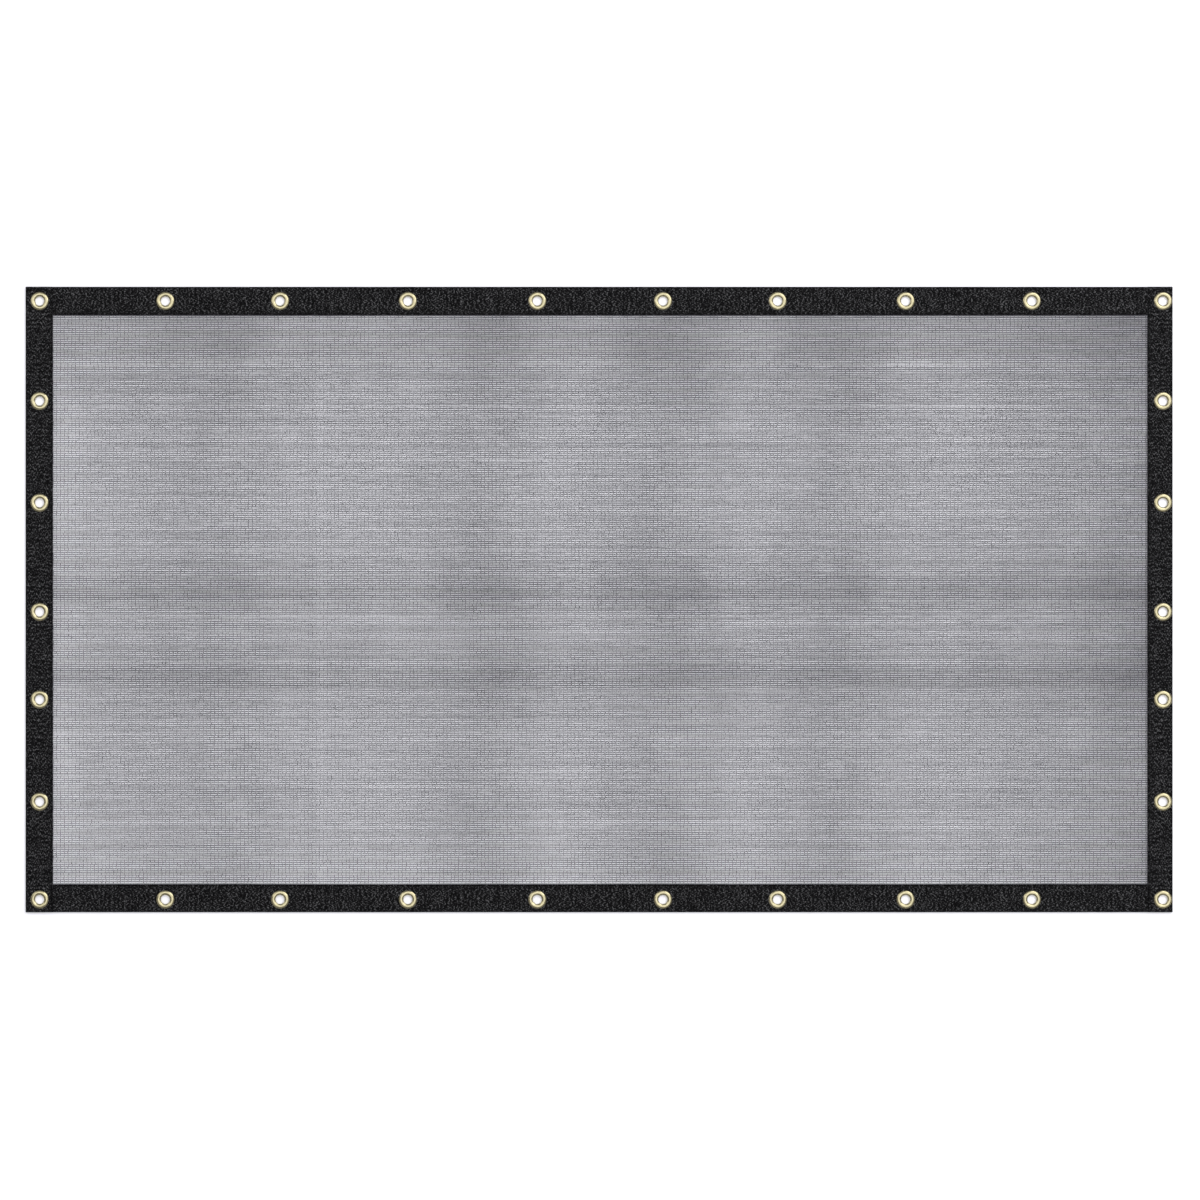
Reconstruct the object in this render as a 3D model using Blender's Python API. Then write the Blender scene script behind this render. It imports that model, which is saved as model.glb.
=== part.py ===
"""Shade cloth: a knitted net panel, bound with folded tape and set with brass eyelets.

The cloth lies spread on a surface at z = 0, its long side along X and its shown face up.
Metres, +Z up. The origin is on the surface, under the middle of the cloth.
"""

import math
from collections import namedtuple

import bmesh
import bpy
from mathutils import Vector

# Whole cloth
CLOTH_LENGTH = 1.834
CLOTH_WIDTH = 1.000
GAP = 0.0003

# Folded tape along each edge, as wide as it shows
TAPE_LEFT = 0.0434
TAPE_RIGHT = 0.0400
TAPE_TOP = 0.0450
TAPE_BOTTOM = 0.0445
TAPE_THICKNESS = 0.0030
TAPE_LIP = 0.0007
FOLD_RADIUS = 0.0012
FOLD_STEPS = 2

# Knitted net, and how far its edge is tucked into the tape
NET_THICKNESS = 0.0010
TUCK_LEFT = 0.0085
TUCK_RIGHT = 0.0120
TUCK_LONG_EDGES = 0.0110
EDGE_EASE = 0.060
CREASE_FADE = 0.030
NET_LINES_APART = 0.007
SWELL_WAVE = 0.62
SWELL_SHARE = 0.22
BLEND_POWER = 3.0

# Eyelets: a flanged barrel turned over a washer
EYELET_HOLE = 0.0076
EYELET_BARREL = 0.0087
EYELET_FLANGE = 0.0144
EYELET_CROWN = 0.0012
WASHER_RADIUS = 0.0140
WASHER_THICKNESS = 0.0008
ROUND_STEPS = 16

# Heights above the surface, worked up from the washers that the cloth stands on
TAPE_BOTTOM_Z = WASHER_THICKNESS + GAP
TAPE_TOP_Z = TAPE_BOTTOM_Z + TAPE_THICKNESS
SLOT_BOTTOM_Z = TAPE_BOTTOM_Z + TAPE_LIP
SLOT_TOP_Z = TAPE_TOP_Z - TAPE_LIP
NET_EDGE_Z = SLOT_BOTTOM_Z + GAP
FLANGE_Z = TAPE_TOP_Z + GAP

# Outer edges of the cloth, inner edges of the tape and edges of the net under it
LEFT, RIGHT = -CLOTH_LENGTH / 2, CLOTH_LENGTH / 2
BOTTOM, TOP = -CLOTH_WIDTH / 2, CLOTH_WIDTH / 2
WINDOW_LEFT, WINDOW_RIGHT = LEFT + TAPE_LEFT, RIGHT - TAPE_RIGHT
WINDOW_BOTTOM, WINDOW_TOP = BOTTOM + TAPE_BOTTOM, TOP - TAPE_TOP
NET_LEFT, NET_RIGHT = WINDOW_LEFT - TUCK_LEFT, WINDOW_RIGHT + TUCK_RIGHT
NET_BOTTOM, NET_TOP = WINDOW_BOTTOM - TUCK_LONG_EDGES, WINDOW_TOP + TUCK_LONG_EDGES

# Where the eyelets are set, as unevenly spaced as they are
EYELET_TOP_Y = 0.4773
EYELET_BOTTOM_Y = -0.4797
EYELET_LEFT_X = -0.8947
EYELET_RIGHT_X = 0.9016
LONG_EDGE_X = (-0.6936, -0.5102, -0.3058, -0.0989, 0.1021, 0.2854, 0.4901, 0.6920)
SHORT_EDGE_Y = (0.3174, 0.1547, -0.0198, -0.1600, -0.3234)

# Creases left by folding: where the crest runs, how wide it slopes towards the lower
# and the higher coordinate, how high it stands and where its swelling starts
Crease = namedtuple("Crease", "place below above height start")
CREASES_ALONG_X = (
    Crease(place=-0.1256, below=0.016, above=0.040, height=0.0028, start=0.4),
    Crease(place=-0.0010, below=0.016, above=0.056, height=0.0038, start=1.9),
    Crease(place=0.3830, below=0.018, above=0.060, height=0.0030, start=3.2),
)
CREASES_ALONG_Y = (
    Crease(place=-0.5850, below=0.050, above=0.050, height=0.0022, start=0.9),
    Crease(place=-0.1610, below=0.048, above=0.048, height=0.0030, start=2.3),
    Crease(place=0.1270, below=0.058, above=0.058, height=0.0024, start=4.0),
    Crease(place=0.4070, below=0.048, above=0.052, height=0.0027, start=5.1),
    Crease(place=0.7950, below=0.064, above=0.046, height=0.0034, start=1.2),
)


def clear_scene():
    for old in list(bpy.data.objects):
        bpy.data.objects.remove(old)


def make_material(name, colour, roughness, metallic=0.0):
    material = bpy.data.materials.new(name)
    material.use_nodes = True
    shader = material.node_tree.nodes["Principled BSDF"]
    shader.inputs["Base Color"].default_value = (*colour, 1.0)
    shader.inputs["Roughness"].default_value = roughness
    shader.inputs["Metallic"].default_value = metallic
    return material


def mesh_from(bm, name):
    bmesh.ops.recalc_face_normals(bm, faces=bm.faces)
    mesh = bpy.data.meshes.new(name)
    bm.to_mesh(mesh)
    bm.free()
    return mesh


def add_object(name, mesh, material=None, location=(0.0, 0.0, 0.0)):
    piece = bpy.data.objects.new(name, mesh)
    piece.location = location
    bpy.context.collection.objects.link(piece)
    if material and not mesh.materials:
        mesh.materials.append(material)
    return piece


def box_bmesh(low, high):
    """A box between two corners, with its size in the mesh and no scale on the object."""
    bm = bmesh.new()
    bmesh.ops.create_cube(bm, size=1.0)
    for vert in bm.verts:
        for axis in range(3):
            middle = (low[axis] + high[axis]) / 2
            vert.co[axis] = middle + vert.co[axis] * (high[axis] - low[axis])
    return bm


def as_cutter(piece):
    piece.hide_render = True
    piece.display_type = "WIRE"
    return piece


def cut_from(piece, cutter):
    cut = piece.modifiers.new("cut_" + cutter.name, "BOOLEAN")
    cut.operation = "DIFFERENCE"
    cut.solver = "EXACT"
    cut.object = cutter


def ease(share):
    """Goes smoothly from 0 to 1 as the share does, and stays there outside it."""
    share = min(max(share, 0.0), 1.0)
    return share * share * (3.0 - 2.0 * share)


def crease_rise(crease, across, along):
    """Height of one crease at a point, given across it and along it."""
    offset = across - crease.place
    reach = crease.above if offset > 0 else crease.below
    swell = 1.0 + SWELL_SHARE * math.sin(math.tau * along / SWELL_WAVE + crease.start)
    return crease.height * swell * ease(1.0 - abs(offset) / reach)


def net_height(x, y):
    """How high the net's underside lies: tucked in the tape, then eased down to the surface."""
    inside = min(x - WINDOW_LEFT, WINDOW_RIGHT - x, y - WINDOW_BOTTOM, WINDOW_TOP - y)
    edge = NET_EDGE_Z * (1.0 - ease(inside / EDGE_EASE))
    rises = [crease_rise(crease, y, x) for crease in CREASES_ALONG_X]
    rises += [crease_rise(crease, x, y) for crease in CREASES_ALONG_Y]
    folded = math.hypot(*rises) * ease(inside / CREASE_FADE)
    return (edge**BLEND_POWER + folded**BLEND_POWER) ** (1.0 / BLEND_POWER)


def net_lines(net_low, window_low, window_high, net_high, creases):
    """Grid lines across the net: at its edges, down its eased rim and over each crease."""
    lines = [window_low, window_low + EDGE_EASE / 2, window_low + EDGE_EASE]
    lines += [window_high, window_high - EDGE_EASE / 2, window_high - EDGE_EASE]
    for crease in creases:
        lines += [crease.place - crease.below, crease.place - crease.below / 2, crease.place]
        lines += [crease.place + crease.above / 2, crease.place + crease.above]
    kept = [net_low]
    for line in sorted(lines):
        if line - kept[-1] >= NET_LINES_APART and net_high - line >= NET_LINES_APART:
            kept.append(line)
    return kept + [net_high]


def build_net(material):
    columns = net_lines(NET_LEFT, WINDOW_LEFT, WINDOW_RIGHT, NET_RIGHT, CREASES_ALONG_Y)
    rows = net_lines(NET_BOTTOM, WINDOW_BOTTOM, WINDOW_TOP, NET_TOP, CREASES_ALONG_X)
    bm = bmesh.new()
    under, over = [], []
    for y in rows:
        points = [Vector((x, y, net_height(x, y))) for x in columns]
        under.append([bm.verts.new(point) for point in points])
        over.append([bm.verts.new(point + Vector((0.0, 0.0, NET_THICKNESS))) for point in points])
    last_row, last_column = len(rows) - 1, len(columns) - 1
    for j in range(last_row):
        for i in range(last_column):
            for sheet in (under, over):
                bm.faces.new((sheet[j][i], sheet[j][i + 1], sheet[j + 1][i + 1], sheet[j + 1][i]))
    for i in range(last_column):
        for j in (0, last_row):
            bm.faces.new((under[j][i], under[j][i + 1], over[j][i + 1], over[j][i]))
    for j in range(last_row):
        for i in (0, last_column):
            bm.faces.new((under[j][i], under[j + 1][i], over[j + 1][i], over[j][i]))
    return add_object("net_panel", mesh_from(bm, "net_panel"), material)


def build_tape(name, low, high, folded_axis, folded_side, cutters, material):
    """One bound edge: a flat strip with its outer long edges rounded by the fold."""
    bm = box_bmesh((*low, TAPE_BOTTOM_Z), (*high, TAPE_TOP_Z))
    outer = low[folded_axis] if folded_side < 0 else high[folded_axis]
    along = 1 - folded_axis
    fold_edges = []
    for edge in bm.edges:
        first, second = (vert.co for vert in edge.verts)
        runs_along = abs(first[along] - second[along]) > abs(high[along] - low[along]) / 2
        if runs_along and abs(first[folded_axis] - outer) < GAP:
            fold_edges.append(edge)
    bmesh.ops.bevel(
        bm, geom=fold_edges, offset=FOLD_RADIUS, segments=FOLD_STEPS, profile=0.5, affect="EDGES"
    )
    tape = add_object(name, mesh_from(bm, name), material)
    for cutter in cutters:
        cut_from(tape, cutter)
    return tape


def build_net_room():
    """The slot that the tape's two lips leave for the net's edge."""
    low = (NET_LEFT - GAP, NET_BOTTOM - GAP, SLOT_BOTTOM_Z)
    high = (NET_RIGHT + GAP, NET_TOP + GAP, SLOT_TOP_Z)
    bm = box_bmesh(low, high)
    return as_cutter(add_object("net_room", mesh_from(bm, "net_room")))


def ring_points(radius, height):
    """Points of one level circle."""
    turns = [step * math.tau / ROUND_STEPS for step in range(ROUND_STEPS)]
    return [(radius * math.cos(turn), radius * math.sin(turn), height) for turn in turns]


def build_eyelet_bores(places):
    """Round holes through the tape, a gap wider than the eyelets' barrels."""
    bm = bmesh.new()
    radius = EYELET_BARREL + GAP
    for x, y in places:
        levels = []
        for height in (0.0, FLANGE_Z):
            ring = [bm.verts.new((x + px, y + py, pz)) for px, py, pz in ring_points(radius, height)]
            levels.append(ring)
        for step in range(ROUND_STEPS):
            after = (step + 1) % ROUND_STEPS
            bm.faces.new((levels[0][step], levels[0][after], levels[1][after], levels[1][step]))
        bm.faces.new(reversed(levels[0]))
        bm.faces.new(levels[1])
    return as_cutter(add_object("eyelet_bores", mesh_from(bm, "eyelet_bores")))


def eyelet_profile():
    """Half section of a set eyelet, as radius and height, round its closed outline."""
    crown_z = FLANGE_Z + EYELET_CROWN
    flange_width = EYELET_FLANGE - EYELET_HOLE
    return (
        (EYELET_HOLE, WASHER_THICKNESS / 2),
        (EYELET_HOLE, crown_z - EYELET_CROWN / 2),
        (EYELET_HOLE + flange_width * 0.22, crown_z),
        (EYELET_FLANGE - flange_width * 0.18, crown_z - EYELET_CROWN * 0.25),
        (EYELET_FLANGE, FLANGE_Z),
        (EYELET_BARREL, FLANGE_Z),
        (EYELET_BARREL, WASHER_THICKNESS),
        (WASHER_RADIUS, WASHER_THICKNESS),
        (WASHER_RADIUS, 0.0),
        (EYELET_HOLE + WASHER_THICKNESS / 2, 0.0),
    )


def eyelet_mesh():
    bm = bmesh.new()
    rings = []
    for radius, height in eyelet_profile():
        rings.append([bm.verts.new(point) for point in ring_points(radius, height)])
    for index, ring in enumerate(rings):
        next_ring = rings[(index + 1) % len(rings)]
        for step in range(ROUND_STEPS):
            after = (step + 1) % ROUND_STEPS
            bm.faces.new((ring[step], ring[after], next_ring[after], next_ring[step]))
    mesh = mesh_from(bm, "eyelet")
    mesh.shade_smooth()
    mesh.set_sharp_from_angle(angle=math.radians(40))
    return mesh


def eyelet_places():
    """Each eyelet's name and place: along the top, the bottom, the left and the right."""
    places = {}
    row_x = (EYELET_LEFT_X, *LONG_EDGE_X, EYELET_RIGHT_X)
    for side, y in (("top", EYELET_TOP_Y), ("bottom", EYELET_BOTTOM_Y)):
        for number, x in enumerate(row_x, start=1):
            places[f"eyelet_{side}_{number:02d}"] = (x, y)
    for side, x in (("left", EYELET_LEFT_X), ("right", EYELET_RIGHT_X)):
        for number, y in enumerate(SHORT_EDGE_Y, start=1):
            places[f"eyelet_{side}_{number:02d}"] = (x, y)
    return places


def main():
    clear_scene()
    net_yarn = make_material("net_yarn", (0.055, 0.055, 0.060), 0.70)
    black_tape = make_material("black_tape", (0.020, 0.020, 0.020), 0.85)
    brass = make_material("brass", (0.78, 0.62, 0.32), 0.30, metallic=1.0)

    build_net(net_yarn)
    places = eyelet_places()
    cutters = (build_net_room(), build_eyelet_bores(places.values()))
    inner_left, inner_right = WINDOW_LEFT + GAP, WINDOW_RIGHT - GAP
    tapes = (
        ("binding_top", (inner_left, WINDOW_TOP), (inner_right, TOP), 1, 1),
        ("binding_bottom", (inner_left, BOTTOM), (inner_right, WINDOW_BOTTOM), 1, -1),
        ("binding_left", (LEFT, BOTTOM), (WINDOW_LEFT, TOP), 0, -1),
        ("binding_right", (WINDOW_RIGHT, BOTTOM), (RIGHT, TOP), 0, 1),
    )
    for name, low, high, folded_axis, folded_side in tapes:
        build_tape(name, low, high, folded_axis, folded_side, cutters, black_tape)

    shared = eyelet_mesh()
    for name, (x, y) in places.items():
        add_object(name, shared, brass, location=(x, y, 0.0))


main()
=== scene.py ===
"""Looks of a shade cloth spread on a pale floor: knitted net, folded tape, stitches and brass eyelets.

Metres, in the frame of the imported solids: +X along the cloth, +Y across it, +Z up.
"""

import math
from collections import namedtuple

import bmesh
import bpy
import numpy as np
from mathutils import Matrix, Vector


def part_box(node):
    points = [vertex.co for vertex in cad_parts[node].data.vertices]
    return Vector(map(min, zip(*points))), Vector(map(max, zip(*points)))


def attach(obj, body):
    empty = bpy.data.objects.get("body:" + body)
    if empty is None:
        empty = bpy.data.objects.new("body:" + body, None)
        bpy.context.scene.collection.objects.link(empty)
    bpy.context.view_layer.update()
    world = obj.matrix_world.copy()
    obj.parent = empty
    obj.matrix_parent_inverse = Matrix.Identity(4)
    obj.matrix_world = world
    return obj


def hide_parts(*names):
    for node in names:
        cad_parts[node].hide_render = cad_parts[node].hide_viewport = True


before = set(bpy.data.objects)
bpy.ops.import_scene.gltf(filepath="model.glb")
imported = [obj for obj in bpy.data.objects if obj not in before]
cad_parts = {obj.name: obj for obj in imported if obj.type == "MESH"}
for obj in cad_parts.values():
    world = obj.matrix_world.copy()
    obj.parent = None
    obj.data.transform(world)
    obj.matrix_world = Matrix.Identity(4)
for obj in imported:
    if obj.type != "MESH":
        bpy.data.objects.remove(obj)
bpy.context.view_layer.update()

MM = 0.001
rng = np.random.default_rng(seed=7)

# Window inside the tape, faces of the tape, box of the net and the eyelets, as the solids have them
WINDOW_LOW = (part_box("binding_left")[1][0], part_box("binding_bottom")[1][1])
WINDOW_HIGH = (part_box("binding_right")[0][0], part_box("binding_top")[0][1])
TAPE_LOW, TAPE_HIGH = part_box("binding_left")[0][2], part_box("binding_left")[1][2]
NET_LOW, NET_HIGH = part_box("net_panel")
EYELETS = sorted(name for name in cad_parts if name.startswith("eyelet_"))
EYELET_LOW, EYELET_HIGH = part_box(EYELETS[0])
FLANGE_RADIUS = (EYELET_HIGH[0] - EYELET_LOW[0]) / 2
SIDES = ("top", "bottom", "left", "right")

# Knit of the net: each course has two laid-in yarns, with a narrow gap between them and a wide one
# beside. Upright chains of flat loops cross the wide gaps and short ties the narrow ones.
WALE_PITCH = 6.0 * MM
COURSE_PITCH = 3.44 * MM
COURSE_WANDER = 0.05 * MM
LAID_HEIGHT = 0.32 * MM
LAID_BASE = 0.78 * MM
LAID_WANDER = 0.05 * MM
LAID_UNEVEN = 0.05
LAID_STEPS = 26
LOOP_WIDTH = 0.72 * MM
LOOP_BASE = 1.14 * MM
LOOP_WANDER = 0.55 * MM
LOOP_UNEVEN = 0.35
LOOP_LIMITS = (0.3, 2.0)
TIE_WIDTH = 0.56 * MM
TIE_REACH = 0.95 * MM
NET_SECTIONS = 5

# Share of a course that is open, its loss for each metre towards +X, and the narrow gap's share of it
OPEN_SHARE = 0.549
OPEN_LIMITS = (0.05, 0.80)
CLOSER_PER_METRE = 0.055
NARROW_SHARE = 0.34

# Where the net stands off the floor: how soon that tells, and what it does to openings, gaps and loops
LIFT_REACH = 0.6 * MM
LIFT_GAIN = 0.16
LIFTED_NARROW_SHARE = 0.17
LIFTED_LOOP_GAIN = 0.25

# Courses more or less open than their neighbours: as a whole, in slow streaks, and a few of them slack
COURSE_UNEVEN = 0.03
STREAK_GAIN = 0.05
STREAK_WAVES = (1.2, 0.5)
STREAK_STRETCH = (0.6, 1.6)
SLACK_SHARE = 0.04
SLACK_GAIN = 0.18

# Slow uneven fields: patches of the knit, drift of its stitches and puckers of the tape
Field = namedtuple("Field", "wave seed")
FIELD_LAYERS = 5
FIELD_STRETCH = (0.6, 1.7)
PATCH_SHARE = 0.03
WIDE_PATCHES = Field(wave=0.20, seed=3)
SMALL_PATCHES = Field(wave=0.07, seed=4)
NET_DRIFT = 0.8 * MM
DRIFT_ALONG = Field(wave=0.30, seed=11)
DRIFT_ACROSS = Field(wave=0.45, seed=12)
WIDE_PUCKER_DEPTH = 0.22 * MM
WIDE_PUCKERS = Field(wave=0.030, seed=21)
SMALL_PUCKER_DEPTH = 0.12 * MM
SMALL_PUCKERS = Field(wave=0.011, seed=22)

# Folded tape: its lips, the lap at the corners, the pressed rims round the eyelets and the seam's furrow
TAPE_LIP = 0.7 * MM
TAPE_STEP = 4.0 * MM
TAPE_LINES = 13
TAPE_SHARP = math.radians(50)
FOLD_POINTS = 8
LAP_STEP = 0.6 * MM
LAP_REACH = 14 * MM
PRESS_REACH = 7.0 * MM
PRESS_DEPTH = 0.35 * MM
SEAM_FROM_EDGE = 4.0 * MM
SEAM_REACH = 3.5 * MM
SEAM_DEPTH = 0.30 * MM

# Stitches: slim at both ends, which sink into the tape
STITCH_PITCH = 4.2 * MM
STITCH_LENGTH = 2.9 * MM
STITCH_WIDTH = 0.55 * MM
STITCH_HEIGHT = 0.28 * MM
STITCH_RISE = 0.6 * STITCH_HEIGHT
STITCH_WANDER = 0.12 * MM
STITCH_PLACES = (-0.5, -0.25, 0.25, 0.5)
STITCH_SLIMNESS = (0.35, 1.0, 1.0, 0.35)

# Set eyelet: hole, crown of the dome, how far the dome falls to its rim and how its curve steepens
EYELET_HOLE = 7.4 * MM
EYELET_CROWN = 10.9 * MM
EYELET_DOME = 1.6 * MM
EYELET_CURVE = 2.4
EYELET_LINES = 12
EYELET_STEPS = 48
EYELET_SHARP = math.radians(60)

# Lower part of the eyelet: rim, barrel, washer's edge as inset and height, and foot as outset and height
RIM_LIP = 0.2 * MM
RIM_BEVEL = 0.3 * MM
BARREL_WALL = 1.1 * MM
WASHER_HEIGHT = 0.8 * MM
WASHER_EDGE = ((0.5 * MM, WASHER_HEIGHT), (0.4 * MM, 0.4 * MM), (0.8 * MM, 0.0))
BARREL_FOOT = ((0.8 * MM, 0.0), (0.2 * MM, 0.15 * MM))
FOOT_ROUND = 0.5 * MM

# Round holes in the tape that the eyelets pass through
BORE_RADIUS = 9.0 * MM
BORE_DEPTH = 20 * MM
BORE_SEGMENTS = 32

# Where the net leaves the tape, how it comes down to the floor, and how its creases swell and blend in
NET_EDGE_Z = 2.1 * MM
EDGE_EASE = 60 * MM
CREASE_FADE = 30 * MM
SWELL_WAVE = 0.62
SWELL_SHARE = 0.22
BLEND_POWER = 3.0

# Folding creases, as in the solid: crest, slope widths, height and start of the swelling
Crease = namedtuple("Crease", "place below above height start")
CREASES_ALONG_X = (
    Crease(place=-0.1256, below=0.016, above=0.040, height=0.0028, start=0.4),
    Crease(place=-0.0010, below=0.016, above=0.056, height=0.0038, start=1.9),
    Crease(place=0.3830, below=0.018, above=0.060, height=0.0030, start=3.2),
)
CREASES_ALONG_Y = (
    Crease(place=-0.5850, below=0.050, above=0.050, height=0.0022, start=0.9),
    Crease(place=-0.1610, below=0.048, above=0.048, height=0.0030, start=2.3),
    Crease(place=0.1270, below=0.058, above=0.058, height=0.0024, start=4.0),
    Crease(place=0.4070, below=0.048, above=0.052, height=0.0027, start=5.1),
    Crease(place=0.7950, below=0.064, above=0.046, height=0.0034, start=1.2),
)

# Where the knit is drawn closer, and so looks darker: the closest line, how far that fades
# towards the lower and the higher coordinate, and the share of the openness lost
Band = namedtuple("Band", "place below above closer")
BANDS_ALONG_X = (
    Band(place=0.3870, below=0.010, above=0.300, closer=0.06),
    Band(place=0.4000, below=0.165, above=0.300, closer=0.09),
    Band(place=0.0030, below=0.008, above=0.055, closer=0.09),
    Band(place=0.0120, below=0.055, above=0.105, closer=0.09),
    Band(place=-0.0550, below=0.070, above=0.070, closer=0.04),
    Band(place=-0.1240, below=0.008, above=0.035, closer=0.08),
    Band(place=-0.1180, below=0.105, above=0.065, closer=0.08),
)
BANDS_ALONG_Y = (
    Band(place=-0.5900, below=0.270, above=0.105, closer=0.10),
    Band(place=-0.1660, below=0.190, above=0.092, closer=0.10),
    Band(place=0.1140, below=0.190, above=0.130, closer=0.10),
    Band(place=0.3850, below=0.170, above=0.112, closer=0.085),
    Band(place=0.8770, below=0.380, above=0.380, closer=0.10),
    Band(place=0.8770, below=0.150, above=0.150, closer=0.09),
    Band(place=-0.4590, below=0.004, above=0.004, closer=0.04),
    Band(place=-0.4450, below=0.005, above=0.006, closer=-0.06),
)

# Tape's knit: stretch of its specks, whose pale ones are painted glints, turns of its loops, share of each
# part in its tone, and where painted shade darkens the tape, beside the seam's furrow and over the fold
SPECK_STRETCH = (1.25, 0.75, 1.0)
TAPE_LOOP_PITCH = 6.9 * MM
LOOP_DRIFT_STRETCH = (50.0, 420.0, 1.0)
LOOP_DRIFT = 14.0
TAPE_PATCH_SHARE = 0.10
TAPE_LOOP_SHARE = 0.10
TAPE_SHADE_SHARE = 0.06
SEAM_SHADE_REACH = 7.0 * MM
FOLD_REACH = 2.5 * MM

# Camera: the photo's frame is 1200 pixels wide, and the cloth's middle is a little off its centre
PIXEL = 1.6 * MM
FRAME_PIXELS = 1200
CLOTH_OFF_CENTRE = (-0.9, 0.5)
LENS, SENSOR = 85.0, 36.0
CAMERA_REACH = 50.0

# Floor, sky and lamps. Each lamp is turned to the middle of the cloth.
FLOOR_REACH = 6.0
DAYLIGHT = (0.983, 0.979, 1.032)
SKY_STRENGTH = 0.42
Lamp = namedtuple("Lamp", "name place size power")
LAMPS = (
    Lamp(name="overhead", place=(1.0, 1.0, 6.0), size=8.5, power=415.0),
    Lamp(name="key", place=(3.1, 3.1, 3.2), size=3.8, power=115.0),
    Lamp(name="fill", place=(-4.2, 2.0, 3.0), size=3.0, power=36.0),
)


def grey(value):
    return (value, value, value)


# Colour ramps: where in the noise each tone stands
YARN_RAMP = ((0.35, (0.040, 0.040, 0.046)), (0.65, (0.064, 0.064, 0.073)))
# The tape's palest tones are painted glints on its yarn
TAPE_RAMP = ((0.42, grey(0.001)), (0.56, grey(0.0035)), (0.66, grey(0.015)), (0.77, grey(0.085)))
THREAD_RAMP = ((0.3, grey(0.006)), (0.7, grey(0.022)))
BRASS_RAMP = ((0.3, (0.31, 0.28, 0.165)), (0.7, (0.42, 0.38, 0.23)))
FLOOR_COLOUR = (*grey(0.90), 1.0)


def ease(share):
    share = np.clip(share, 0.0, 1.0)
    return share * share * (3.0 - 2.0 * share)


def edge_distance(x, y, low, high):
    """Distance to the nearest edge of a rectangle, from inside it."""
    return np.minimum(np.minimum(x - low[0], high[0] - x), np.minimum(y - low[1], high[1] - y))


def step_middles(low, length, count):
    """The middles of so many equal steps along a length."""
    return low + (np.arange(count) + 0.5) * length / count


def slopes(crest, across):
    """1 on a crease's or a band's line, easing to 0 at its two reaches."""
    offset = across - crest.place
    reach = np.where(offset > 0, crest.above, crest.below)
    return ease(1.0 - np.abs(offset) / reach)


def crease_rise(crease, across, along):
    swell = 1.0 + SWELL_SHARE * np.sin(math.tau * along / SWELL_WAVE + crease.start)
    return crease.height * swell * slopes(crease, across)


def net_height(x, y):
    """Height of the net's underside: in the tape, then down to the floor and over its creases."""
    inside = edge_distance(x, y, WINDOW_LOW, WINDOW_HIGH)
    edge = NET_EDGE_Z * (1.0 - ease(inside / EDGE_EASE))
    squares = sum(crease_rise(crease, y, x) ** 2 for crease in CREASES_ALONG_X)
    squares = squares + sum(crease_rise(crease, x, y) ** 2 for crease in CREASES_ALONG_Y)
    folded = np.sqrt(squares) * ease(inside / CREASE_FADE)
    return (edge**BLEND_POWER + folded**BLEND_POWER) ** (1.0 / BLEND_POWER)


def smooth_field(x, y, field):
    """A slow, uneven field between about -1 and 1, the same each run."""
    local = np.random.default_rng(field.seed)
    total = np.zeros(np.broadcast(x, y).shape)
    for _ in range(FIELD_LAYERS):
        turn, start = local.uniform(0, math.tau, 2)
        wave = field.wave * local.uniform(*FIELD_STRETCH)
        along = x * math.cos(turn) + y * math.sin(turn)
        total = total + np.sin(math.tau * along / wave + start)
    return total / FIELD_LAYERS


def net_lift(x, y):
    """0 where the net lies on the floor, nearing 1 where it stands well off it."""
    return 1.0 - np.exp(-net_height(x, y) / LIFT_REACH)


def net_openness(x, y):
    """Share of a course left open: stretched a little where the net stands off the floor,
    less in the closer bands, uneven elsewhere."""
    lost = sum(band.closer * slopes(band, y) for band in BANDS_ALONG_X)
    lost = lost + sum(band.closer * slopes(band, x) for band in BANDS_ALONG_Y) + CLOSER_PER_METRE * x
    uneven = PATCH_SHARE * smooth_field(x, y, WIDE_PATCHES) + PATCH_SHARE * smooth_field(x, y, SMALL_PATCHES)
    return OPEN_SHARE * (1.0 + LIFT_GAIN * net_lift(x, y)) * (1.0 - lost + uneven)


def row_streaks(x, rows):
    """Slow swelling of each course by itself, as (rows, points)."""
    total = np.zeros((rows, x.shape[-1]))
    for wave in STREAK_WAVES:
        waves = wave * rng.uniform(*STREAK_STRETCH, (rows, 1))
        total = total + np.sin(math.tau * (x / waves + rng.uniform(0.0, 1.0, (rows, 1))))
    return total / len(STREAK_WAVES)


def yarn_arrays(points, sideways, half, height):
    """Three-sided yarns with open ends as vertices and quads, from the yarns' points
    (yarns, points, 3), their sideways direction, half widths (yarns, points) and height."""
    yarns, count, _ = points.shape
    side = np.asarray(sideways) * half[..., None]
    corners = np.stack((points - side, points + side, points + (0.0, 0.0, height)), axis=2)
    index = np.arange(yarns * count * 3).reshape(yarns, count, 3)
    here, ahead = index[:, :-1], index[:, 1:]
    quads = [
        np.stack((here[..., a], here[..., b], ahead[..., b], ahead[..., a]), axis=-1).reshape(-1, 4)
        for a, b in ((0, 1), (1, 2), (2, 0))
    ]
    return corners.reshape(-1, 3), np.concatenate(quads)


def yarn_ends(yarns, count):
    """Triangles that close both ends of yarns with that many points each."""
    index = np.arange(yarns * count * 3).reshape(yarns, count, 3)
    return np.concatenate((index[:, 0, ::-1], index[:, -1]))


def loop_arrays(tips, middles, half):
    """Chains of flat loops, each reaching from tip to tip and widest in its middle."""
    side = half[..., None] * (1.0, 0.0, 0.0)
    tip = np.arange(tips.shape[0] * tips.shape[1]).reshape(tips.shape[:2])
    left = tip.size + np.arange(half.size).reshape(half.shape)
    right = left + half.size
    quads = np.stack((tip[:, :-1], right, tip[:, 1:], left), axis=-1)
    verts = np.concatenate([part.reshape(-1, 3) for part in (tips, middles - side, middles + side)])
    return verts, quads.reshape(-1, 4)


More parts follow.
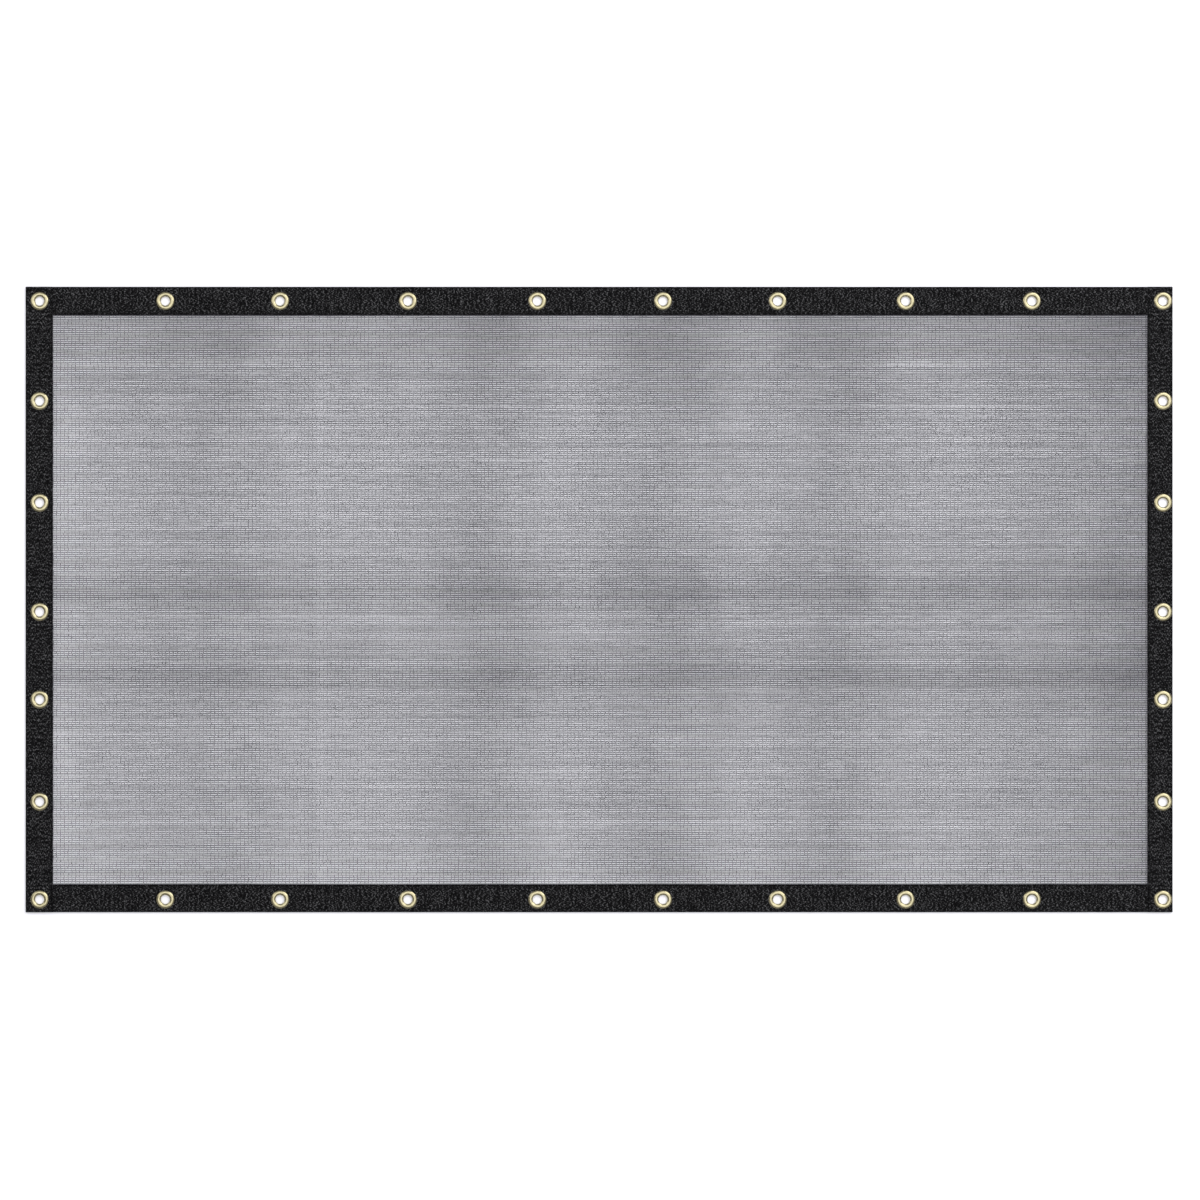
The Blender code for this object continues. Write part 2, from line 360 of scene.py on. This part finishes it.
def joined_arrays(*parts):
    """Several sets of vertices and quads as one."""
    starts = np.cumsum([0] + [len(verts) for verts, _ in parts])
    verts = np.concatenate([verts for verts, _ in parts])
    quads = np.concatenate([quads + start for (_, quads), start in zip(parts, starts)])
    return verts, quads


def mesh_from_arrays(name, verts, quads, tris=None):
    mesh = bpy.data.meshes.new(name)
    tris = np.zeros((0, 3), int) if tris is None else tris
    loops = np.concatenate((quads.reshape(-1), tris.reshape(-1)))
    quad_starts = np.arange(len(quads)) * 4
    starts = np.concatenate((quad_starts, len(quads) * 4 + np.arange(len(tris)) * 3))
    mesh.vertices.add(len(verts))
    mesh.vertices.foreach_set("co", verts.astype(np.float32).reshape(-1))
    mesh.loops.add(len(loops))
    mesh.loops.foreach_set("vertex_index", loops.astype(np.int32))
    mesh.polygons.add(len(starts))
    mesh.polygons.foreach_set("loop_start", starts.astype(np.int32))
    mesh.update(calc_edges=True)
    mesh.validate()
    return mesh


def add_piece(name, mesh, material, location=(0.0, 0.0, 0.0)):
    piece = bpy.data.objects.new(name, mesh)
    piece.location = location
    bpy.context.collection.objects.link(piece)
    if not mesh.materials:
        mesh.materials.append(material)
    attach(piece, "root")
    return piece


def drifted(x, y, base):
    """Where a stitch really lies: a little off its even place, and on the net's height."""
    hold = NET_DRIFT * ease(edge_distance(x, y, NET_LOW, NET_HIGH) / EDGE_EASE)
    moved_x = x + smooth_field(x, y, DRIFT_ALONG) * hold
    moved_y = y + smooth_field(x, y, DRIFT_ACROSS) * hold
    return np.stack((moved_x, moved_y, net_height(x, y) + base), axis=-1)


def course_openness(x, courses):
    """How much more or less open each course is by itself, along its length."""
    gain = 1.0 + rng.normal(0.0, COURSE_UNEVEN, (courses, 1)) + STREAK_GAIN * row_streaks(x, courses)
    slack = rng.uniform(0.0, 1.0, (courses, 1)) < SLACK_SHARE
    return gain + SLACK_GAIN * slack * (0.5 + 0.5 * row_streaks(x, courses))


def laid_yarns(course_y):
    """The pairs of yarns laid along each course: points and half widths."""
    x = np.linspace(NET_LOW[0], NET_HIGH[0], NET_SECTIONS * LAID_STEPS + 1)
    grid_x, grid_y = np.meshgrid(x, course_y)
    open_share = net_openness(grid_x, grid_y) * course_openness(x, len(course_y))
    gap = np.clip(open_share, *OPEN_LIMITS) * COURSE_PITCH
    half = (COURSE_PITCH - gap) / 4
    narrow = gap * (NARROW_SHARE + (LIFTED_NARROW_SHARE - NARROW_SHARE) * net_lift(grid_x, grid_y))
    shared_wander = rng.normal(0.0, LAID_WANDER, grid_x.shape)
    points, halves = [], []
    for side in (-1.0, 1.0):
        own_wander = rng.normal(0.0, LAID_WANDER / 2, grid_x.shape)
        y = grid_y + side * (half + narrow / 2) + shared_wander + own_wander
        points.append(drifted(grid_x, y, LAID_BASE))
        halves.append(half * (1.0 + rng.normal(0.0, LAID_UNEVEN, grid_x.shape)))
    return np.concatenate(points), np.concatenate(halves)


def uneven_half(width, x, y):
    """Half widths of loops or ties, uneven and a little wider where the net stands off the floor."""
    wider = 1.0 + LIFTED_LOOP_GAIN * net_lift(x, y)
    return width * wider * np.clip(1.0 + rng.normal(0.0, LOOP_UNEVEN, x.shape), *LOOP_LIMITS) / 2


def chain_loops(wale_x, course_y):
    """The upright chains: tips on the courses, middles over the wide gaps and half widths."""
    tip_x, tip_y = np.meshgrid(wale_x, course_y, indexing="ij")
    middle_x, middle_y = np.meshgrid(wale_x, (course_y[:-1] + course_y[1:]) / 2, indexing="ij")
    middle_x = middle_x + rng.normal(0.0, LOOP_WANDER, middle_x.shape)
    tips, middles = drifted(tip_x, tip_y, LOOP_BASE), drifted(middle_x, middle_y, LOOP_BASE)
    return tips, middles, uneven_half(LOOP_WIDTH, middle_x, middle_y)


def pair_ties(tie_x, course_y):
    """The ties over each pair of laid-in yarns, midway between the chains: tips, middles and half widths."""
    x, y = (part.reshape(-1, 1) for part in np.meshgrid(tie_x, course_y))
    x = x + rng.normal(0.0, LOOP_WANDER, x.shape)
    tips = drifted(np.repeat(x, 2, axis=1), y + (-TIE_REACH, TIE_REACH), LOOP_BASE)
    return tips, drifted(x, y, LOOP_BASE), uneven_half(TIE_WIDTH, x, y)


def build_net(material):
    """The net as real yarn: laid-in yarns in pairs, the upright chains that cross them and the ties."""
    length, breadth = NET_HIGH[0] - NET_LOW[0], NET_HIGH[1] - NET_LOW[1]
    wales = round(length / WALE_PITCH / NET_SECTIONS) * NET_SECTIONS
    courses = round(breadth / COURSE_PITCH)
    wale_x = step_middles(NET_LOW[0], length, wales)
    course_y = step_middles(NET_LOW[1], breadth, courses)
    course_y[1:-1] += rng.normal(0.0, COURSE_WANDER, courses - 2)
    laid_points, laid_half = laid_yarns(course_y)
    tips, middles, loop_half = chain_loops(wale_x, course_y)
    tie_x = (wale_x[:-1] + wale_x[1:]) / 2
    chains = wales // NET_SECTIONS
    for section in range(NET_SECTIONS):
        along = slice(section * LAID_STEPS, (section + 1) * LAID_STEPS + 1)
        own = slice(section * chains, (section + 1) * chains)
        laid = yarn_arrays(laid_points[:, along], (0.0, 1.0, 0.0), laid_half[:, along], LAID_HEIGHT)
        loops = loop_arrays(tips[own], middles[own], loop_half[own])
        ties = loop_arrays(*pair_ties(tie_x[own], course_y))
        name = f"net_{section + 1}"
        mesh = mesh_from_arrays(name, *joined_arrays(laid, loops, ties))
        mesh.shade_smooth()
        piece = add_piece(name, mesh, material)
        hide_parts("net_panel")


class Nodes:
    """Small helper that adds and links shader nodes."""

    def __init__(self, material):
        self.tree = material.node_tree
        self.shader = self.tree.nodes["Principled BSDF"]

    def add(self, kind, **inputs):
        node = self.tree.nodes.new(kind)
        for name, value in inputs.items():
            self.feed(node.inputs[name], value)
        return node

    def feed(self, socket, value):
        if isinstance(value, bpy.types.NodeSocket):
            self.tree.links.new(value, socket)
        else:
            socket.default_value = value

    def set(self, name, value):
        self.feed(self.shader.inputs[name], value)

    def maths(self, operation, first, second):
        node = self.add("ShaderNodeMath")
        node.operation = operation
        self.feed(node.inputs[0], first)
        self.feed(node.inputs[1], second)
        return node.outputs[0]

    def plus_share(self, value, other, share):
        """A value plus a share of another."""
        return self.maths("ADD", value, self.maths("MULTIPLY", other, share))

    def attribute(self, name, output):
        node = self.add("ShaderNodeAttribute")
        node.attribute_name = name
        return node.outputs[output]

    def noise(self, scale, detail=2.0, vector=None):
        if vector is None:
            vector = self.add("ShaderNodeTexCoord").outputs["Object"]
        return self.add("ShaderNodeTexNoise", Vector=vector, Scale=scale, Detail=detail).outputs["Fac"]

    def stretched(self, vector, scale):
        return self.add("ShaderNodeMapping", Vector=vector, Scale=scale).outputs["Vector"]

    def ramp(self, value, stops):
        node = self.add("ShaderNodeValToRGB", Fac=value)
        points = node.color_ramp.elements
        while len(points) < len(stops):
            points.new(1.0)
        for point, (position, colour) in zip(points, stops):
            point.position = position
            point.color = (*colour, 1.0)
        return node.outputs["Color"]

    def bump(self, height, distance, strength=1.0):
        node = self.add("ShaderNodeBump", Height=height, Distance=distance, Strength=strength)
        self.set("Normal", node.outputs["Normal"])


def new_material(name):
    material = bpy.data.materials.new(name)
    material.use_nodes = True
    return material, Nodes(material)


def yarn_material():
    material, nodes = new_material("net_yarn")
    nodes.set("Base Color", nodes.ramp(nodes.noise(scale=90.0), YARN_RAMP))
    nodes.set("Roughness", nodes.plus_share(0.30, nodes.noise(scale=400.0), 0.25))
    nodes.bump(nodes.noise(scale=2200.0), distance=0.10 * MM)
    return material


def tape_material():
    """Knitted tape: dark specks of its own tone and pale specks that are painted glints, some of them in
    short rows of loops along the strip, with painted shade beside the seam and over the fold.
    """
    material, nodes = new_material("black_tape")
    strip = nodes.attribute("strip", "Vector")
    # Painted glints: the pale specks, some in rows of loops, brighten the colour where light would catch the
    # yarn; the same specks also bump the surface
    specks = nodes.noise(scale=660.0, detail=1.0, vector=nodes.stretched(strip, SPECK_STRETCH))
    patches = nodes.noise(scale=60.0, detail=1.0)
    drift = nodes.noise(scale=1.0, detail=0.0, vector=nodes.stretched(strip, LOOP_DRIFT_STRETCH))
    along = nodes.add("ShaderNodeSeparateXYZ", Vector=strip).outputs["X"]
    turn = nodes.maths("MULTIPLY", along, math.tau / TAPE_LOOP_PITCH)
    loops = nodes.maths("SINE", nodes.plus_share(turn, drift, LOOP_DRIFT), 0.0)
    tone = nodes.plus_share(specks, patches, TAPE_PATCH_SHARE)
    tone = nodes.plus_share(tone, loops, TAPE_LOOP_SHARE)
    # Painted shade: the attribute darkens the tape's colour beside the seam's furrow and over the fold
    tone = nodes.plus_share(tone, nodes.attribute("painted_shade", "Fac"), -TAPE_SHADE_SHARE)
    nodes.set("Base Color", nodes.ramp(tone, TAPE_RAMP))
    nodes.set("Roughness", 0.80)
    nodes.set("Specular IOR Level", 0.05)
    nodes.bump(specks, distance=0.8 * MM, strength=0.7)
    return material


def thread_material():
    material, nodes = new_material("black_thread")
    nodes.set("Base Color", nodes.ramp(nodes.noise(scale=700.0), THREAD_RAMP))
    nodes.set("Roughness", 0.5)
    nodes.set("Specular IOR Level", 0.15)
    nodes.bump(nodes.noise(scale=2500.0), distance=0.1 * MM)
    return material


def brass_material():
    material, nodes = new_material("brass")
    nodes.set("Base Color", nodes.ramp(nodes.noise(scale=260.0, detail=3.0), BRASS_RAMP))
    nodes.set("Metallic", 1.0)
    nodes.set("Roughness", nodes.plus_share(0.12, nodes.noise(scale=500.0), 0.14))
    nodes.bump(nodes.noise(scale=900.0, detail=3.0), distance=0.06 * MM, strength=0.5)
    return material


def floor_material():
    material, nodes = new_material("pale_floor")
    nodes.set("Base Color", FLOOR_COLOUR)
    nodes.set("Roughness", 0.9)
    return material


def eyelet_centres():
    boxes = [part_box(name) for name in EYELETS]
    return np.array([[(low[0] + high[0]) / 2, (low[1] + high[1]) / 2] for low, high in boxes])


def tape_relief(x, y, from_inner):
    """How far the tape's upper face stands off its flat: puckered, but pressed in at seam and eyelets."""
    puckers = WIDE_PUCKER_DEPTH * smooth_field(x, y, WIDE_PUCKERS)
    puckers = puckers + SMALL_PUCKER_DEPTH * smooth_field(x, y, SMALL_PUCKERS)
    centres = eyelet_centres()
    nearest = np.min(np.hypot(x[..., None] - centres[:, 0], y[..., None] - centres[:, 1]), axis=-1)
    pressed = ease(1.0 - (nearest - FLANGE_RADIUS) / PRESS_REACH)
    seam = SEAM_DEPTH * ease(1.0 - np.abs(from_inner - SEAM_FROM_EDGE) / SEAM_REACH)
    return puckers * (1.0 - pressed) - PRESS_DEPTH * pressed - seam


def tape_section(inner, outer):
    """Closed section of a strip folded in two, as places across it and heights.

    It runs along the upper face, round the fold, back along the underside and then along the inside.
    """
    outward = 1.0 if outer > inner else -1.0
    radius = (TAPE_HIGH - TAPE_LOW) / 2
    middle = (TAPE_HIGH + TAPE_LOW) / 2
    fold = outer - outward * radius
    turns = np.linspace(math.pi / 2, -math.pi / 2, FOLD_POINTS)
    section = [(inner + (fold - inner) * share, TAPE_HIGH) for share in np.linspace(0.0, 1.0, TAPE_LINES)]
    for turn in turns[1:]:
        section.append((fold + outward * radius * math.cos(turn), middle + radius * math.sin(turn)))
    section += [(inner, TAPE_LOW), (inner, TAPE_LOW + TAPE_LIP)]
    reach = radius - TAPE_LIP
    for turn in turns[::-2]:
        section.append((fold + outward * reach * math.cos(turn), middle + reach * math.sin(turn)))
    section += [(inner + (fold - inner) / 2, TAPE_HIGH - TAPE_LIP), (inner, TAPE_HIGH - TAPE_LIP)]
    return np.array(section)


def bore_cutter():
    """Round bars where the eyelets pass through the tape."""
    bm = bmesh.new()
    sizes = {"radius1": BORE_RADIUS, "radius2": BORE_RADIUS, "depth": BORE_DEPTH}
    for x, y in eyelet_centres():
        made = bmesh.ops.create_cone(bm, cap_ends=True, segments=BORE_SEGMENTS, **sizes)
        bmesh.ops.translate(bm, verts=made["verts"], vec=(x, y, 0.0))
    mesh = bpy.data.meshes.new("bores")
    bm.to_mesh(mesh)
    bm.free()
    cutter = bpy.data.objects.new("bores", mesh)
    bpy.context.collection.objects.link(cutter)
    return cutter


def cut_mesh(mesh, cutter):
    """A mesh with the cutter taken out of it."""
    holder = bpy.data.objects.new("holder", mesh)
    bpy.context.collection.objects.link(holder)
    cut = holder.modifiers.new("cut", "BOOLEAN")
    cut.operation = "DIFFERENCE"
    cut.solver = "EXACT"
    cut.object = cutter
    graph = bpy.context.evaluated_depsgraph_get()
    result = bpy.data.meshes.new_from_object(holder.evaluated_get(graph))
    result.name = mesh.name
    bpy.data.objects.remove(holder)
    return result


def strip_frame(side):
    """A strip's box, the axis across it and its inner and outer edges there."""
    low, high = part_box("binding_" + side)
    across = 1 if side in ("top", "bottom") else 0
    inner, outer = low[across], high[across]
    if side in ("bottom", "left"):
        inner, outer = outer, inner
    return low, high, across, inner, outer


def upper_height(side, x, y, from_inner):
    """Height of a strip's upper face, which dips where the side strips lap over its ends."""
    low, high, across, _, _ = strip_frame(side)
    height = TAPE_HIGH + tape_relief(x, y, from_inner)
    if across == 1:
        height = height - LAP_STEP * ease(1.0 - np.minimum(x - low[0], high[0] - x) / LAP_REACH)
    return height


def capped(mesh, rings):
    """The same mesh with a face over each ring of vertices, if any, and its normals outward."""
    bm = bmesh.new()
    bm.from_mesh(mesh)
    bm.verts.ensure_lookup_table()
    for ring in rings:
        bm.faces.new([bm.verts[int(i)] for i in ring])
    bmesh.ops.recalc_face_normals(bm, faces=bm.faces)
    bm.to_mesh(mesh)
    bm.free()
    return mesh


def build_tape(side, cutter, material):
    """A strip of tape folded round the cloth's edge, with its eyelet holes cut out."""
    low, high, across, inner, outer = strip_frame(side)
    along = 1 - across
    length, width = high[along] - low[along], abs(outer - inner)
    section = tape_section(inner, outer)
    runs = np.linspace(low[along], high[along], int(length / TAPE_STEP) + 1)
    verts = np.zeros((len(runs), len(section), 3))
    verts[:, :, across] = section[None, :, 0]
    verts[:, :, along] = runs[:, None]
    verts[:, :, 2] = section[None, :, 1]
    from_inner = np.abs(verts[:, :, across] - inner)
    upper = verts[:, :TAPE_LINES]
    upper[..., 2] = upper_height(side, upper[..., 0], upper[..., 1], from_inner[:, :TAPE_LINES])

    count = len(section)
    index = np.arange(len(runs) * count).reshape(len(runs), count)
    ahead = np.roll(index, -1, axis=1)
    quads = np.stack((index[:-1], ahead[:-1], ahead[1:], index[1:]), axis=-1).reshape(-1, 4)
    mesh = mesh_from_arrays("tape_" + side, verts.reshape(-1, 3), quads)

    # Painted shade: the tape's colour is darkened beside the seam's furrow and over the rounded fold, where
    # less light falls
    seam_shade = ease(1.0 - from_inner / SEAM_SHADE_REACH)
    fold_shade = ease(from_inner / FOLD_REACH - width / FOLD_REACH + 1.0)
    painted_shade = seam_shade + fold_shade
    mesh.attributes.new("painted_shade", "FLOAT", "POINT").data.foreach_set("value", painted_shade.reshape(-1))
    places = np.stack((verts[:, :, along], from_inner, verts[:, :, 2]), axis=-1)
    mesh.attributes.new("strip", "FLOAT_VECTOR", "POINT").data.foreach_set("vector", places.reshape(-1))

    mesh = cut_mesh(capped(mesh, (index[0], index[-1])), cutter)
    mesh.shade_smooth()
    mesh.set_sharp_from_angle(angle=TAPE_SHARP)
    piece = add_piece("tape_" + side, mesh, material)
    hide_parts("binding_" + side)


def build_seam(side, material):
    """The row of stitches that holds a strip down along its inner edge."""
    low, high, across, inner, outer = strip_frame(side)
    along = 1 - across
    length = high[along] - low[along]
    outward = 1.0 if outer > inner else -1.0
    count = int(length / STITCH_PITCH)
    middle = step_middles(low[along], length, count)
    sideways = inner + outward * SEAM_FROM_EDGE + rng.normal(0.0, STITCH_WANDER, count)
    x, y = (middle, sideways) if along == 0 else (sideways, middle)
    surface = upper_height(side, x, y, np.full(count, SEAM_FROM_EDGE))
    places = np.zeros((count, 3))
    places[:, across] = sideways
    places[:, 2] = surface - STITCH_RISE
    points = np.repeat(places[:, None, :], len(STITCH_PLACES), axis=1)
    points[:, :, along] = middle[:, None] + np.array(STITCH_PLACES) * STITCH_LENGTH
    points[:, 1:-1, 2] += STITCH_RISE
    half = np.repeat(np.array([STITCH_SLIMNESS]) * STITCH_WIDTH / 2, count, axis=0)
    sideways_axis = (0.0, 1.0, 0.0) if along == 0 else (-1.0, 0.0, 0.0)
    verts, quads = yarn_arrays(points, sideways_axis, half, STITCH_HEIGHT)
    mesh = mesh_from_arrays("seam_" + side, verts, quads, yarn_ends(*half.shape))
    mesh.shade_smooth()
    add_piece("seam_" + side, mesh, material)


def eyelet_section():
    """Half section of a set eyelet: barrel, dome over its crown, rim and the washer beneath."""
    top, bottom = EYELET_HIGH[2], EYELET_LOW[2]
    barrel = EYELET_HOLE + BARREL_WALL
    rim = top - EYELET_DOME - RIM_LIP
    section = [(EYELET_HOLE, bottom + FOOT_ROUND)]
    for radius in np.linspace(EYELET_HOLE, FLANGE_RADIUS, EYELET_LINES):
        reach = (FLANGE_RADIUS if radius > EYELET_CROWN else EYELET_HOLE) - EYELET_CROWN
        section.append((radius, top - EYELET_DOME * ((radius - EYELET_CROWN) / reach) ** EYELET_CURVE))
    section += [(FLANGE_RADIUS - RIM_BEVEL, rim), (barrel, rim), (barrel, bottom + WASHER_HEIGHT)]
    section += [(FLANGE_RADIUS - inset, bottom + height) for inset, height in WASHER_EDGE]
    section += [(EYELET_HOLE + outset, bottom + height) for outset, height in BARREL_FOOT]
    return np.array(section)


def eyelet_mesh():
    section = eyelet_section()
    turns = np.arange(EYELET_STEPS) * math.tau / EYELET_STEPS
    radius, height = section[:, None, 0], section[:, None, 1]
    heights = np.repeat(height, EYELET_STEPS, axis=1)
    verts = np.stack((radius * np.cos(turns), radius * np.sin(turns), heights), axis=-1)
    index = np.arange(heights.size).reshape(heights.shape)
    up, right = np.roll(index, -1, axis=0), np.roll(index, -1, axis=1)
    both = np.roll(up, -1, axis=1)
    quads = np.stack((index, right, both, up), axis=-1).reshape(-1, 4)
    mesh = capped(mesh_from_arrays("eyelet", verts.reshape(-1, 3), quads), ())
    mesh.shade_smooth()
    mesh.set_sharp_from_angle(angle=EYELET_SHARP)
    return mesh


def build_eyelets(material):
    shared = eyelet_mesh()
    for number, node in enumerate(EYELETS):
        low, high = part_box(node)
        centre = ((low[0] + high[0]) / 2, (low[1] + high[1]) / 2, 0.0)
        piece = add_piece("brass_" + node, shared, material, location=centre)
        piece.rotation_euler.z = number * math.pi / 2
        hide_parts(node)


def build_floor():
    mesh = bpy.data.meshes.new("floor")
    bm = bmesh.new()
    bmesh.ops.create_grid(bm, x_segments=1, y_segments=1, size=FLOOR_REACH)
    bm.to_mesh(mesh)
    bm.free()
    floor = bpy.data.objects.new("floor", mesh)
    bpy.context.collection.objects.link(floor)
    mesh.materials.append(floor_material())


def add_lamp(lamp):
    light = bpy.data.lights.new(lamp.name, "AREA")
    light.shape = "SQUARE"
    light.size = lamp.size
    light.energy = lamp.power
    light.color = DAYLIGHT
    holder = bpy.data.objects.new(lamp.name, light)
    holder.location = lamp.place
    holder.rotation_euler = (-Vector(lamp.place)).to_track_quat("-Z", "Y").to_euler()
    bpy.context.collection.objects.link(holder)


def light_and_camera():
    world = bpy.data.worlds.new("studio")
    world.use_nodes = True
    sky = world.node_tree.nodes["Background"]
    sky.inputs["Color"].default_value = (*DAYLIGHT, 1.0)
    sky.inputs["Strength"].default_value = SKY_STRENGTH
    scene = bpy.context.scene
    scene.world = world
    scene.view_settings.view_transform = "Standard"
    for lamp in LAMPS:
        add_lamp(lamp)

    lens = bpy.data.cameras.new("camera")
    lens.lens = LENS
    lens.sensor_width = SENSOR
    lens.clip_end = CAMERA_REACH
    camera = bpy.data.objects.new("camera", lens)
    width = FRAME_PIXELS * PIXEL
    off_x, off_y = (pixels * PIXEL for pixels in CLOTH_OFF_CENTRE)
    camera.location = (-off_x, -off_y, width * LENS / SENSOR)
    bpy.context.collection.objects.link(camera)
    scene.camera = camera


light_and_camera()
build_floor()
build_net(yarn_material())
tape = tape_material()
thread = thread_material()
bores = bore_cutter()
for side in SIDES:
    build_tape(side, bores, tape)
    build_seam(side, thread)
bpy.data.objects.remove(bores)
build_eyelets(brass_material())
